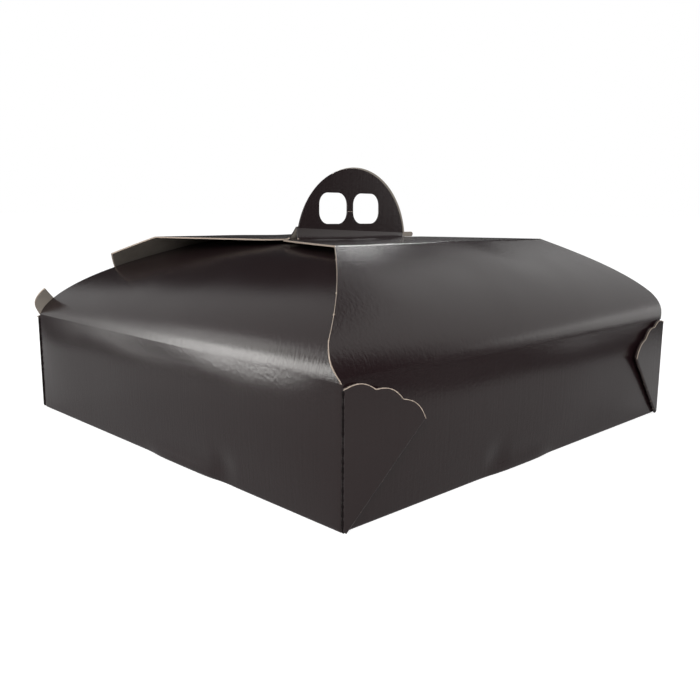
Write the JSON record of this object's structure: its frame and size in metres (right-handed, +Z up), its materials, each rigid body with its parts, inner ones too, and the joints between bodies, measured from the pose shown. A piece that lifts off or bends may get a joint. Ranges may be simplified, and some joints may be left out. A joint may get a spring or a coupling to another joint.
{
  "type": "cake box",
  "caption": "Square folded board cake box with scalloped corner gussets, curved closing flaps and a finger-hole carry grip.",
  "frame": {"origin": "centre of the underside of the base", "axes": "+Z up, +X along the front and rear walls that carry the grip flaps, front flap on -Y"},
  "size_m": [0.287, 0.2952, 0.1538],
  "materials": {
    "board": "glossy dark brown laminate outside, plain greige board inside"
  },
  "bodies": {
    "tray": {"tray": "board"},
    "front_flap": {"front_flap": "board"},
    "rear_flap": {"rear_flap": "board"}
  },
  "joints": [
    {"name": "front_fold", "type": "hinge", "parent": "tray", "child": "front_flap", "pos_m": [0, -0.14, 0.06115], "axis": [1, 0, 0], "range_deg": [0, 85]},
    {"name": "rear_fold", "type": "hinge", "parent": "tray", "child": "rear_flap", "pos_m": [0, 0.14, 0.06115], "axis": [-1, 0, 0], "range_deg": [0, 85]}
  ]
}
